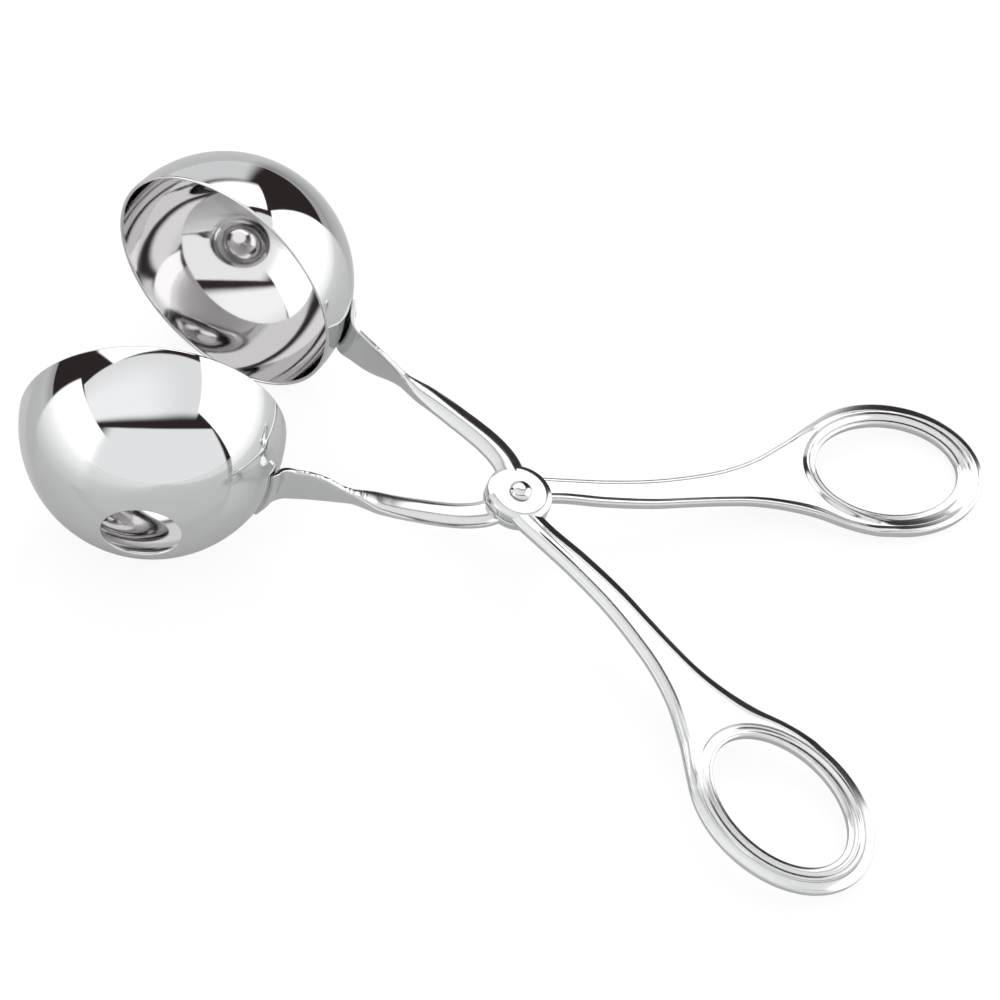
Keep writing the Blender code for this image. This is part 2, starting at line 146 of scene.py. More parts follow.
# Places along a handle's two edges, as shares of RING_REACH and RING_OFFSET.
INNER_EDGE_SHARES = ((-0.03, -0.05), (0.0, -0.02), (0.05, 0.026), (0.105, 0.068), (0.235, 0.115),
                     (0.37, 0.191), (0.46, 0.267), (0.55, 0.339), (0.635, 0.393), (0.725, 0.409),
                     (0.815, 0.384), (0.885, 0.335), (0.93, 0.315), (0.975, 0.311))
OUTER_EDGE_SHARES = ((-0.03, 0.18), (0.0, 0.22), (0.05, 0.272), (0.105, 0.300), (0.235, 0.366),
                     (0.37, 0.467), (0.46, 0.566), (0.55, 0.690), (0.635, 0.860), (0.725, 1.115))
NECK_SHARE = 0.725
INNER_JOIN = math.radians(262)
OUTER_JOIN = math.radians(128)

# The relief of each handle, in millimetres: a column holds for the place named above it, and the relief
# changes evenly from one column to the next. Distances run inwards from the rim, or outwards from the hole.
RELIEF_PLACES = np.radians((180, 225, 262, 300, 360, 430, 488, 540))
#                      inner edge  neck  joins  ring's inner side, end, outer side  joins  outer edge
RELIEFS = {
    "upper": {"rim wall": (0.95, 0.95, 0.95, 0.95, 0.95, 0.95, 1.00, 1.05),
              "shoulder in": (0.30, 0.30, 0.30, 0.30, 0.30, 0.30, 0.30, 0.35),
              "shoulder": (1.22, 1.22, 1.22, 1.22, 1.20, 1.20, 1.25, 1.32),
              "crest in": (1.65, 1.65, 1.70, 1.80, 1.80, 1.80, 1.50, 1.35),
              "crest": (1.62, 1.58, 1.56, 1.62, 1.64, 1.64, 1.54, 1.68),
              "crest turn": (0.6, 0.6, 0.5, 0.3, 0.0, 0.0, 0.0, 0.0),
              "panel in": (2.05, 2.05, 2.05, 2.00, 2.00, 2.00, 2.00, 1.95),
              "seam": (1.45, 1.46, 1.48, 1.62, 1.64, 1.64, 1.50, 1.45),
              "seam slope": (0.0, 0.0, 0.0, -0.08, -0.08, -0.08, 0.0, 0.0),
              "lip out": (0.50, 0.60, 0.80, 1.00, 1.00, 1.00, 0.80, 0.50),
              "lip": (1.45, 1.45, 1.45, 1.45, 1.45, 1.45, 1.45, 1.45),
              "groove out": (1.00, 1.20, 1.50, 1.75, 1.75, 1.75, 1.50, 1.00),
              "groove": (1.38, 1.38, 1.38, 1.38, 1.38, 1.38, 1.38, 1.38),
              "ridge out": (1.80, 1.90, 2.10, 2.35, 2.35, 2.35, 2.10, 1.80),
              "ridge": (1.72, 1.72, 1.70, 1.68, 1.68, 1.68, 1.70, 1.72),
              "end out": (2.50, 2.55, 2.60, 2.70, 2.70, 2.70, 2.60, 2.50)},
    "lower": {"rim wall": (1.30, 1.30, 1.35, 1.40, 1.20, 0.85, 0.95, 1.00),
              "shoulder in": (0.15, 0.15, 0.15, 0.15, 0.20, 0.20, 0.20, 0.15),
              "shoulder": (1.42, 1.46, 1.62, 1.66, 1.40, 0.95, 1.06, 1.15),
              "crest in": (0.75, 0.75, 0.55, 0.50, 1.00, 1.90, 1.10, 0.50),
              "crest": (1.46, 1.50, 1.84, 1.86, 1.64, 1.52, 1.36, 1.22),
              "crest turn": (0.0, 0.0, 0.0, 0.0, 0.4, 0.85, 0.85, 0.0),
              "panel in": (1.90, 1.90, 1.90, 2.00, 2.00, 2.00, 1.90, 0.90),
              "seam": (1.20, 1.15, 1.50, 1.50, 1.50, 1.52, 1.28, 1.20),
              "seam slope": (-0.9, -0.9, 0.29, 0.30, 0.0, 0.0, -0.6, -0.9),
              "lip out": (0.45, 0.45, 0.45, 0.45, 0.45, 0.45, 0.45, 0.45),
              "lip": (1.50, 1.48, 1.26, 1.18, 1.40, 1.50, 1.50, 1.50),
              "groove out": (0.90, 0.90, 0.90, 0.90, 0.95, 0.95, 0.92, 0.90),
              "groove": (1.38, 1.34, 0.98, 0.95, 1.25, 1.36, 1.36, 1.36),
              "ridge out": (1.55, 1.55, 1.80, 1.80, 1.85, 2.00, 1.75, 1.55),
              "ridge": (1.96, 1.90, 1.24, 1.22, 1.50, 1.60, 1.84, 1.96),
              "end out": (2.32, 2.34, 2.60, 2.70, 2.70, 2.70, 2.50, 2.32)},
}
SLOPES = ("seam slope", "crest turn")
print("finger holes", round(HOLE_LENGTH / MM, 1), "by", round(HOLE_WIDTH / MM, 1), "mm")

# %% [markdown]
# ## Where the tongs lie
# The record holds the rivet's place and axis. The rivet leans a few degrees, because the tongs rest on
# their two cups and one ring. A matrix for each lever follows: first the lever swings about the rivet by
# half the opening, then the whole tool leans, then it moves to its place.

# %% Matrices of the tool and its levers
joint = frame["record"]["behaviour"]["joints"][0]
lean = math.atan2(joint["axis"][0], joint["axis"][2])
tool_place = Matrix.Translation(joint["pos_m"]) @ Matrix.Rotation(lean, 4, "Y")
places = {"upper": tool_place @ Matrix.Rotation(-HALF_OPENING, 4, "Z"),
          "lower": tool_place @ Matrix.Rotation(HALF_OPENING, 4, "Z")}
print("the rivet leans by", round(math.degrees(lean), 2), "degrees")

# %% [markdown]
# ## Camera
# A long lens far away keeps the two cups nearly the same size. The place is given in the tool's own
# frame, in millimetres from the rivet, and was found by fitting the outlines of cups, rings and rivet.

# %% Camera
CAMERA_PLACE = (-14.3404, -431.2304, 524.2329)
CAMERA_TURN = (36.74888, -15.10879, 17.68498)
LENS = 142.26
SENSOR_WIDTH = 36.0
NEAREST, FARTHEST = 0.01, 50.0

camera = bpy.data.objects.new("camera", bpy.data.cameras.new("camera"))
bpy.context.collection.objects.link(camera)
camera_turn = Matrix.LocRotScale([v * MM for v in CAMERA_PLACE], None, None)
for axis_name, degrees in zip("ZYX", reversed(CAMERA_TURN)):
    camera_turn = camera_turn @ Matrix.Rotation(math.radians(degrees), 4, axis_name)
camera.matrix_world = tool_place @ camera_turn
camera.data.sensor_width = SENSOR_WIDTH
camera.data.lens = LENS
camera.data.clip_start = NEAREST
camera.data.clip_end = FARTHEST
bpy.context.scene.camera = camera
print("camera at", [round(v, 4) for v in camera.matrix_world.translation])

# %% [markdown]
# ## Helpers for surfaces
# Every surface here is a grid of points: one direction runs along the piece, the other round its section.
# Neighbouring points give four-sided faces, and a grid may close on itself either way. The sum of the
# little pyramids from the origin to each triangle is the enclosed volume: when it comes out negative the
# faces point inwards, and the grid's faces are turned over.

# %% Smooth lines through shares of two sizes
def through(shares, across, along, at):
    """A cubic through the listed points with slopes from their neighbours: x = across s, y = along f(s)."""
    table = np.array(shares)
    slopes = np.gradient(table[:, 1], table[:, 0])
    place = np.clip(np.searchsorted(table[:, 0], at) - 1, 0, len(table) - 2)
    left, right = table[place], table[place + 1]
    span = right[:, 0] - left[:, 0]
    t = (at - left[:, 0]) / span
    rise = (left[:, 1] * (1 + 2 * t) * (1 - t) ** 2 + slopes[place] * span * t * (1 - t) ** 2
            + right[:, 1] * t * t * (3 - 2 * t) - slopes[place + 1] * span * t * t * (1 - t))
    return np.stack([across * at, along * rise], axis=1)


def smooth_level(shares, at):
    """The same cubic, as one number for each place: y = f(s)."""
    return through(shares, 1.0, 1.0, np.clip(at, shares[0][0], shares[-1][0]))[:, 1]


def quarter(start, end, steps, rises_first):
    """A quarter ellipse from start to end: (1 - cos a, sin a) or (sin a, 1 - cos a) of the way."""
    angle = np.linspace(0.0, math.pi / 2, steps + 1)[1:]
    across, up = (1 - np.cos(angle), np.sin(angle)) if rises_first else (np.sin(angle), 1 - np.cos(angle))
    return np.stack([start[0] + (end[0] - start[0]) * across, start[1] + (end[1] - start[1]) * up], axis=1)


# %% From a grid of points to a closed mesh
MERGE_REACH = 0.0002 * MM
SHARP_ANGLE = math.radians(40)


def grid_faces(rows, columns, closed_rows=False, closed_columns=False):
    """Faces (r, c), (r, c+1), (r+1, c+1), (r+1, c) of a grid, wrapped round where it closes."""
    row = np.arange(rows if closed_rows else rows - 1)[:, None]
    column = np.arange(columns if closed_columns else columns - 1)[None]
    ahead, beside = (row + 1) % rows, (column + 1) % columns
    return np.stack([row * columns + column, row * columns + beside,
                     ahead * columns + beside, ahead * columns + column], axis=-1).reshape(-1, 4)


def volume(points, faces):
    """Sum of a . (b x c) / 6 over the triangles of each face, which is positive when they face outwards."""
    a, b, c, d = (points[faces[:, k]] for k in range(4))
    return (np.einsum("ij,ij->", a, np.cross(b, c)) + np.einsum("ij,ij->", a, np.cross(c, d))) / 6


def closed_piece(name, blocks, place, body):
    """One object from (points, faces) blocks: doubles merge, holes close, and the faces point outwards."""
    mesh = bpy.data.meshes.new(name)
    points, faces, start = [], [], 0
    for block_points, block_faces in blocks:
        points.append(block_points)
        faces.append(block_faces + start)
        start += len(block_points)
    points, faces = np.vstack(points), np.vstack(faces)
    turn = np.array(place)
    points = points @ turn[:3, :3].T + turn[:3, 3]
    if volume(points, faces) < 0:
        faces = faces[:, ::-1]
    mesh.from_pydata(points.tolist(), [], faces.tolist())
    work = bmesh.new()
    work.from_mesh(mesh)
    bmesh.ops.remove_doubles(work, verts=work.verts, dist=MERGE_REACH)
    bmesh.ops.holes_fill(work, edges=[edge for edge in work.edges if edge.is_boundary])
    bmesh.ops.recalc_face_normals(work, faces=work.faces)
    open_edges = sum(not edge.is_manifold for edge in work.edges)
    work.to_mesh(mesh)
    work.free()
    mesh.shade_smooth()
    mesh.set_sharp_from_angle(angle=SHARP_ANGLE)
    piece = bpy.data.objects.new(name, mesh)
    bpy.context.collection.objects.link(piece)
    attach(piece, body)
    print(name, len(mesh.polygons), "faces,", open_edges, "open edges")
    return piece


def turned(profile, steps, closed=False):
    """A profile (r, h) turned about Z: (r cos a, r sin a, h) for a full turn of a."""
    angle = np.linspace(0.0, 2 * math.pi, steps, endpoint=False)[:, None]
    radius, height = np.array(profile).T
    points = np.stack([radius * np.cos(angle), radius * np.sin(angle), height + 0 * angle], axis=-1)
    return points.reshape(-1, 3), grid_faces(steps, len(profile), True, closed)


# %% [markdown]
# ## The cups
# Each cup is a disc of thin steel, spun over a round form until it is half a ball, with a round vent
# punched at its pole so that the food lets go. A ball is easy to make from a ready-made sphere, but its
# edges would be knife-sharp. Turning a profile about the pole's axis gives even faces for a clean mirror,
# and lets both cut edges carry the small rounding that catches a bright line of light.

# %% Cup profile and cups
CUP_TURNS = 288
CUP_ROWS = 96
BAND_ROWS = 4
EDGE_ROWS = 10
INNER_START = BAND_ROWS + CUP_ROWS + EDGE_ROWS - 1


def cup_profile():
    """Outer wall, a half circle over the vent's edge, inner wall back, a half circle under the rim."""
    inner, middle, half = CUP_RADIUS - CUP_WALL, CUP_RADIUS - CUP_WALL / 2, CUP_WALL / 2
    last = math.pi / 2 - math.asin((VENT_RADIUS + half) / middle)
    angle = np.linspace(0.0, last, CUP_ROWS)
    ball = np.stack([np.cos(angle), np.sin(angle)], axis=1)
    band = np.linspace(half - CUP_BAND, 0.0, BAND_ROWS, endpoint=False)
    turn = np.linspace(0.0, math.pi, EDGE_ROWS + 1)[1:-1]
    across, along = middle + half * np.cos(turn), half * np.sin(turn)
    vent = np.stack([across * math.cos(last) - along * math.sin(last),
                     across * math.sin(last) + along * math.cos(last)], axis=1)
    rim_edge = np.stack([across, half - CUP_BAND - along], axis=1)[::-1]
    outside = np.vstack([np.stack([np.full(BAND_ROWS, CUP_RADIUS), band], axis=1), CUP_RADIUS * ball])
    inside = np.vstack([np.stack([np.full(BAND_ROWS, inner), band], axis=1), inner * ball])[::-1]
    return np.vstack([outside, vent, inside, rim_edge])


cups = {}
for side, way in (("upper", -1), ("lower", 1)):
    seat = (places[side] @ Matrix.Translation((-CUP_REACH, 0.0, CUP_RISE))
            @ Matrix.Rotation(way * math.pi / 2 + CUP_ROLL, 4, "X"))
    cups[side] = closed_piece(side + "_cup_shell", [turned(cup_profile(), CUP_TURNS, True)], seat, side)
    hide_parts(side + "_cup")

# %% [markdown]
# ## The rivet
# The rivet was set with a domed head above and peened flatter below. Squeezed spheres on a cylinder would
# cross each other inside, so it is one turned profile: a closed surface with a flattened, full-cheeked dome.

# %% Rivet
RIVET_TURNS = 96
HEAD_STEPS = 32
TAIL_STEPS = 20
ROUNDING_STEPS = 4


def rivet_profile():
    """Head (r / R)^a + (h / H)^b = 1 with a, b its squareness; shank r = constant; tail a quarter ellipse."""
    seat = LEVER_GAP + BOSS_THICKNESS + HEAD_CLEARANCE
    soft = HEAD_ROUNDING
    a, b = HEAD_SQUARENESS
    angle = np.linspace(0.0, math.pi / 2, HEAD_STEPS + 1)[1:]
    head = np.stack([HEAD_RADIUS * np.abs(np.cos(angle)) ** (2 / a),
                     seat + soft + (HEAD_HEIGHT - soft) * np.sin(angle) ** (2 / b)], axis=1)
    head[-1, 0] = 0.0
    tail = quarter((HEAD_RADIUS, -seat - soft), (0.0, -seat - TAIL_HEIGHT), TAIL_STEPS, True)
    foot = quarter((HEAD_RADIUS - soft, seat), (HEAD_RADIUS, seat + soft), ROUNDING_STEPS, False)
    under = foot[::-1] * (1, -1)
    return np.vstack([tail[::-1], under, (HEAD_RADIUS - soft, -seat), (SHANK_RADIUS, -seat),
                      (SHANK_RADIUS, seat), (HEAD_RADIUS - soft, seat), foot, head])


rivet = closed_piece("rivet_domed", [turned(rivet_profile(), RIVET_TURNS)], places["lower"], "lower")
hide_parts("pivot_rivet")

# %% [markdown]
# ## The bosses
# Where the levers cross, each swells into a flat disc with a broad rounded shoulder. A flat top mirrors
# one single spot of the studio, so the disc looks like one bright coin with a shaded edge. A bevelled
# cylinder would give a round corner only, so the disc is turned from a profile that eases into its flat.

# %% Bosses
BOSS_TURNS = 160
UNDER_STEPS = 6
CORNER_STEPS = 8
CROWN_STEPS = 24
TOP_STEPS = 11


def boss_profile(face, outward):
    """Face, rounding, wall, quarter-ellipse corner, crown h = top - fall x^2 and flat top, as (r, h)."""
    outer = face + outward * BOSS_THICKNESS
    start = (BOSS_RADIUS - BOSS_ROUNDING, face)
    under = quarter(start, (BOSS_RADIUS, face + outward * BOSS_ROUNDING), UNDER_STEPS, False)
    wall = (BOSS_RADIUS, outer - outward * BOSS_DROP)
    edge = BOSS_RADIUS - BOSS_CORNER
    corner = quarter(wall, (edge, outer - outward * BOSS_FALL), CORNER_STEPS, True)[:-1]
    share = np.linspace(1.0, 0.0, CROWN_STEPS)
    crown = np.stack([edge - BOSS_CROWN * (1 - share), outer - outward * BOSS_FALL * share ** 2], axis=1)
    flat = np.linspace(edge - BOSS_CROWN, 0.0, TOP_STEPS + 1)[1:]
    top = np.stack([flat, np.full(TOP_STEPS, outer)], axis=1)
    return np.vstack([(0.0, face), start, under, wall, corner, crown, top])


bosses = {}
for side, outward in (("upper", 1), ("lower", -1)):
    profile = boss_profile(outward * LEVER_GAP, outward)
    bosses[side] = closed_piece(side + "_boss", [turned(profile, BOSS_TURNS)], places[side], side)
    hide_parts(side + "_lever")

# %% [markdown]
# ## The arms
# An arm starts as a half-round bar at the boss. Towards the cup it was pressed sideways into a tall thin
# strip, and the strip's end is bent round and welded flat on the cup. One section carried along a path
# makes all of it: the section's width, height and squareness change on the way. The press left small
# ripples in the crown, just where the bar turns into the strip.

# %% Arm path
# How many faces follow each other along the bar, the bend and the foot, and round the section.
ARM_STEPS = 320
BEND_STEPS = 26
FOOT_STEPS = 12
BAR_STEPS = 72


def arm_path():
    """Bow line from the boss, a bend a (1 - t)^2 + 2 b t (1 - t) + c t^2, then an arc round the cup."""
    along = np.linspace(ARM_LINE_SHARES[0][0], 1.0, ARM_STEPS + 1)
    face = CUP_RADIUS + WELD_CLEARANCE
    strip = face + STRIP_THICKNESS / 2
    reach = CUP_REACH - math.sqrt(strip ** 2 - ARM_BOW ** 2)
    line = through(ARM_LINE_SHARES, -(reach - BEND_RADIUS), ARM_BOW, along)
    first = math.asin((ARM_BOW + BEND_RADIUS) / strip)
    angle = np.linspace(first, first + FOOT_LENGTH / strip, FOOT_STEPS)
    thickness = np.linspace(STRIP_THICKNESS, FOOT_THICKNESS, FOOT_STEPS)
    foot = (face + thickness[:, None] / 2) * np.stack([np.cos(angle), np.sin(angle)], axis=1)
    foot[:, 0] -= CUP_REACH
    corner = np.array([-reach, ARM_BOW])
    t = np.linspace(0.0, 1.0, BEND_STEPS + 2)[1:-1, None]
    bend = line[-1] * (1 - t) ** 2 + 2 * corner * t * (1 - t) + foot[0] * t ** 2
    return along, line, bend, foot, thickness


# %% Arm section carried along the path
def bar_section(width, low, high, squareness, roundness):
    """|side|^a + |lift|^b = 1: a low crown with the given a and b above, squarer below and on the strip."""
    angle = np.linspace(0.0, 2 * math.pi, BAR_STEPS, endpoint=False)[None]
    across, up = np.cos(angle), np.sin(angle)
    upper = up >= 0
    waist = high - ARM_CROWN - (high - low) * 0.5 * squareness + ARM_CROWN * squareness
    a, b = (np.where(upper, value + (STRIP_SQUARENESS - value) * squareness, STRIP_SQUARENESS)
            for value in roundness)
    side = np.sign(across) * np.abs(across) ** (2 / a)
    lift = np.abs(up) ** (2 / b)
    return width / 2 * side, np.where(upper, waist + (high - waist) * lift, waist - (waist - low) * lift)


def arm_grid(name, low, mirrored):
    """Path + side x normal, z = up; the foot's plan shrinks by sqrt(r^2 - z^2) / r onto the cup's ball."""
    along, line, bend, foot, thickness = arm_path()
    path = np.vstack([line, bend, foot])
    tail = len(bend) + len(foot)
    pressed = np.concatenate([smooth_level(PRESSED_SHARES, along), np.ones(tail)])[:, None]
    bar = STRIP_THICKNESS + (ARM_WIDTH - STRIP_THICKNESS) * smooth_level(ARM_WIDTH_SHARES, along)
    width = np.concatenate([bar, np.full(len(bend), STRIP_THICKNESS), thickness])[:, None]
    height = ARM_THICKNESS + (STRIP_HEIGHT - ARM_THICKNESS) * pressed
    height[-tail:, 0] += (FOOT_HEIGHT - STRIP_HEIGHT) * np.linspace(0.0, 1.0, tail)
    shift = np.concatenate([smooth_level(LEVEL_SHARES, along), np.ones(tail)])[:, None]
    middle = (low + ARM_THICKNESS / 2) * (1 - shift) + STRIP_LEVEL * shift
    wrap = np.concatenate([np.zeros(len(line)), np.linspace(0, 1, len(bend)), np.ones(len(foot))])[:, None]
    heading = np.gradient(path, axis=0)
    heading /= np.linalg.norm(heading, axis=1)[:, None]
    side, up = bar_section(width, middle - height / 2, middle + height / 2, np.minimum(1.0, 2 * pressed),
                           ARM_ROUNDNESS[name])
    run = np.concatenate([[0.0], np.cumsum(np.linalg.norm(np.diff(path, axis=0), axis=1))])[:, None]
    turn = 2 * math.pi * run / RIPPLE_LENGTH
    crown = np.clip((up - middle) / height * 2, 0.0, 1.0) ** 2
    ripple = np.sin(turn + RIPPLE_WANDER * np.sin(RIPPLE_WANDER_SHARE * turn) + RIPPLE_SLANT * side)
    worked = np.concatenate([np.interp(along, *np.array(RIPPLE_SHARES).T), np.zeros(tail)])[:, None]
    up = up + RIPPLE_DEPTHS[name] * worked * crown * ripple
    x = path[:, :1] - heading[:, 1:] * side + CUP_REACH
    y = path[:, 1:] + heading[:, :1] * side
    reach = np.hypot(x, y)
    hug = np.sqrt(np.maximum(reach ** 2 - (up - CUP_RISE) ** 2, 0.0)) / reach
    hug = 1 - wrap * (1 - hug)
    y = y * hug * (-1 if mirrored else 1)
    grid = np.stack([x * hug - CUP_REACH, y, up], axis=-1)
    return grid.reshape(-1, 3), grid_faces(len(path), BAR_STEPS, False, True)


arms = {}
for side, outward in (("upper", 1), ("lower", -1)):
    face = outward * LEVER_GAP
    low = min(face, face + outward * BOSS_THICKNESS) + ARM_INSET
    arms[side] = closed_piece(side + "_arm", [arm_grid(side, low, outward < 0)], places[side], side)

# %% [markdown]
# ## Handles and finger rings
# A handle is a pressed plate: a thin bead runs along each edge with a flat panel between, and round the
# finger hole stands a higher ridge with a small lip inside it. Two ribbons make this. The first carries
# the edge section from the outline to the middle line, the second goes from the hole to the ridge line.

# %% Plan lines of a handle
# How many faces follow each other along the shank, the neck and the ring.
SHANK_STEPS = 70
NECK_STEPS = 34
RING_STEPS = 130
CURVE_STEPS = 60


def evenly(line, count):
    """The same line with its points at equal distances along it."""
    run = np.concatenate([[0.0], np.cumsum(np.linalg.norm(np.diff(line, axis=0), axis=1))])
    at = np.linspace(0.0, run[-1], count)
    return np.stack([np.interp(at, run, line[:, axis]) for axis in range(line.shape[1])], axis=1)


def oval(forward, aside, length, width, angle):
    """Ellipse (length/2 cos a, width/2 sin a), turned by the ring's tilt and moved to the finger hole."""
    ahead, across = length / 2 * np.cos(angle), width / 2 * np.sin(angle)
    tilt_cos, tilt_sin = math.cos(RING_TILT), math.sin(RING_TILT)
    return np.stack([RING_REACH + forward + ahead * tilt_cos - across * tilt_sin,
                     RING_OFFSET + aside + ahead * tilt_sin + across * tilt_cos], axis=-1)


def rim(angle):
    """The ring's outer oval."""
    return oval(RIM_FORWARD, RIM_ASIDE, RIM_LENGTH, RIM_WIDTH, angle)


def round_hole(margin, angle):
    """An oval at a steady margin round the finger hole."""
    return oval(0.0, 0.0, HOLE_LENGTH + 2 * margin, HOLE_WIDTH + 2 * margin, angle)


def handle_lines():
    """Outline, middle line, ridge line and hole as matching lines of points, and each row's ring angle."""
    edges = []
    for shares, join in ((INNER_EDGE_SHARES, INNER_JOIN), (OUTER_EDGE_SHARES, OUTER_JOIN)):
        before = np.linspace(shares[0][0], NECK_SHARE, SHANK_STEPS + 1)
        beyond = np.linspace(NECK_SHARE, shares[-1][0], CURVE_STEPS)
        shank, neck = (through(shares, RING_REACH, RING_OFFSET, at) for at in (before, beyond))
        neck = evenly(np.vstack([neck, rim(join)[None]]), NECK_STEPS + 1)
        edges.append((shank, neck[1:]))
    (near, near_neck), (far, far_neck) = edges
    spine = (near + far) / 2
    spine += (round_hole(RIDGE_BAND, math.pi) - spine[-1]) * np.linspace(0, 1, len(spine))[:, None] ** 2
    near_angle = np.linspace(math.pi, INNER_JOIN, NECK_STEPS + 1)
    far_angle = np.linspace(OUTER_JOIN, math.pi, NECK_STEPS + 1) + 2 * math.pi
    round_angle = np.linspace(near_angle[-1], far_angle[0], RING_STEPS + 1)[1:-1]
    edge = np.vstack([near, near_neck, rim(round_angle), far_neck[::-1], far[::-1]])
    angle = np.concatenate([near_angle, round_angle, far_angle])
    ridge = round_hole(RIDGE_BAND, angle)
    inner = np.vstack([spine[:-1], ridge, spine[:-1][::-1]])
    shank = np.zeros(SHANK_STEPS)
    row_angle = np.concatenate([shank + angle[0], angle, shank + angle[-1]])
    return edge, inner, ridge, round_hole(0.0, angle), row_angle


# %% Sections carried along the plan lines
UNDER_EDGE_STEPS = 5
WALL_STEPS = 3


def ribbon(outer, inner, section):
    """Each section point (distance d, height h) goes to outer + (inner - outer) d / span, at height h."""
    span = np.linalg.norm(inner - outer, axis=1)[:, None]
    reach = np.minimum(section[..., 0], span) / span
    plan = outer[:, None] + (inner - outer)[:, None] * reach[..., None]
    return np.concatenate([plan, section[..., 1, None]], axis=2)


def curve(start, end, leave, arrive, steps):
    """Cubic from start to end, both (d, h), with slope leave at its start and arrive at its end."""
    t = np.linspace(0.0, 1.0, steps + 1)[1:]
    run = end[0] - start[0]
    height = (start[1] * (1 + 2 * t) * (1 - t) ** 2 + leave * run * t * (1 - t) ** 2
              + end[1] * t * t * (3 - 2 * t) - arrive * run * t * t * (1 - t))
    return np.stack([start[0] + run * t, height], axis=-1)


def edge_of_plate(top):
    """Underside, its rounding as a quarter ellipse, and the wall h = under + (top - under) t."""
    under = quarter((0.0, UNDER_HEIGHT), (UNDER_ROUNDING, 0.0), UNDER_EDGE_STEPS, True)[::-1]
    foot = np.vstack([(RING_REACH, 0.0), under, (0.0, UNDER_HEIGHT)])
    rows = np.broadcast_to(foot, (len(top),) + foot.shape)
    lift = UNDER_HEIGHT + (top - UNDER_HEIGHT) * np.linspace(0.0, 1.0, WALL_STEPS + 1)[1:]
    return np.concatenate([rows, np.stack([0 * lift, lift], axis=-1)], axis=1)


def shoulder_arc(top, reach, height, steps):
    """Quarter ellipse from the wall's top (0, top) to (reach, height), upright at its start."""
    angle = np.linspace(0.0, math.pi / 2, steps + 1)[1:]
    return np.stack([reach * (1 - np.cos(angle)), top + (height - top) * np.sin(angle)], axis=-1)


# %% Sections of the rim and of the finger hole
# How many faces follow each other along a stretch of the section.
SHOULDER_STEPS = 6
CREST_STEPS = 14
PANEL_STEPS = 12
LIP_STEPS = 8
GROOVE_STEPS = 6
RIDGE_STEPS = 10


def rim_section(relief, span):
    """For every row: wall, shoulder arc, cubic to the crest, cubic down to the panel, level panel."""
    panel_in = np.minimum(relief["panel in"], span)
    crest_in = np.minimum(relief["crest in"], CREST_LIMIT_SHARE * panel_in)
    shoulder = relief["shoulder in"], relief["shoulder"]
    crest, end = (crest_in, relief["crest"]), (panel_in, relief["seam"])
    rise = (crest[1] - shoulder[1]) / (crest[0] - shoulder[0])
    turn = relief["crest turn"]
    meets = np.where(span > panel_in, 0.0, 1.0) * relief["seam slope"]
    inwards = np.hstack([*(panel_in + support for support in PANEL_SUPPORTS), 0 * span + RING_REACH])
    level = np.stack([inwards, np.repeat(relief["seam"], inwards.shape[1], axis=1)], axis=-1)
    return np.concatenate([edge_of_plate(relief["rim wall"]),
                           shoulder_arc(relief["rim wall"], *shoulder, SHOULDER_STEPS),
                           curve(shoulder, crest, (2 - turn) * rise, turn * rise, CREST_STEPS),
                           curve(crest, end, 0 * rise, -meets, PANEL_STEPS), level], axis=1)


def hole_section(relief):
    """For every row: wall, lip arc, cubics to the groove, the ridge and down to the panel, level panel."""
    lip, groove = (relief["lip out"], relief["lip"]), (relief["groove out"], relief["groove"])
    ridge, end = (relief["ridge out"], relief["ridge"]), (relief["end out"], relief["seam"])
    flat = 0 * lip[0]
    before, after = ((b[1] - a[1]) / (b[0] - a[0]) for a, b in ((groove, ridge), (ridge, end)))
    over = np.where(before * after > 0, (before + after) / 2, 0.0)
    outwards = np.hstack([end[0] + PANEL_SUPPORTS[0], flat + RING_REACH])
    level = np.stack([outwards, np.repeat(end[1], outwards.shape[1], axis=1)], axis=-1)
    wall_top = lip[1] - (lip[1] - UNDER_HEIGHT) * LIP_ARC_SHARE
    return np.concatenate([edge_of_plate(wall_top), shoulder_arc(wall_top, *lip, LIP_STEPS),
                           curve(lip, groove, flat, flat, GROOVE_STEPS),
                           curve(groove, ridge, flat, over, RIDGE_STEPS),
                           curve(ridge, end, over, relief["seam slope"], PANEL_STEPS), level], axis=1)


# %% Handle with its ring
def handle_grids(side, low, mirrored):
    """The rim's and the hole's ribbon, with relief read along the ring angle; z = low + rise x / reach."""
    edge, inner, ridge_line, hole, ring_angle = handle_lines()
    relief = {name: np.interp(ring_angle, RELIEF_PLACES, values)[:, None] * (1 if name in SLOPES else MM)
              for name, values in RELIEFS[side].items()}
    fade = np.clip((edge[:, :1] - PANEL_STARTS[side]) / PANEL_RUNS[side], 0.0, 1.0)
    relief["seam"] = relief["crest"] + (relief["seam"] - relief["crest"]) * fade
    border = rim_section(relief, np.linalg.norm(inner - edge, axis=1)[:, None])
    ring = slice(SHANK_STEPS, len(ring_angle) - SHANK_STEPS)
    collar = hole_section({name: values[ring] for name, values in relief.items()})
    blocks = []
    for grid in (ribbon(edge, inner, border), ribbon(hole, ridge_line, collar)):
        points = grid.reshape(-1, 3)
        points[:, 2] += low + RING_RISE * np.clip(points[:, 0], 0, None) / RING_REACH
        points[:, 1] *= 1 if mirrored else -1
        blocks.append((points, grid_faces(*grid.shape[:2])))
    return blocks


handles = {}
for side, outward in (("upper", 1), ("lower", -1)):
    face = outward * LEVER_GAP
    low = min(face, face + outward * BOSS_THICKNESS) + HANDLE_INSET
    handles[side] = closed_piece(side + "_handle", handle_grids(side, low, outward < 0), places[side], side)

# %% [markdown]
# ## Colours and nodes
# Paint charts and pictures name colours as sRGB hex values, while the renderer counts in linear light.
# One function turns the first into the second, and one small function adds a node with its settings and
# its links: a socket is named by its label, or by its number where two sockets share a label.

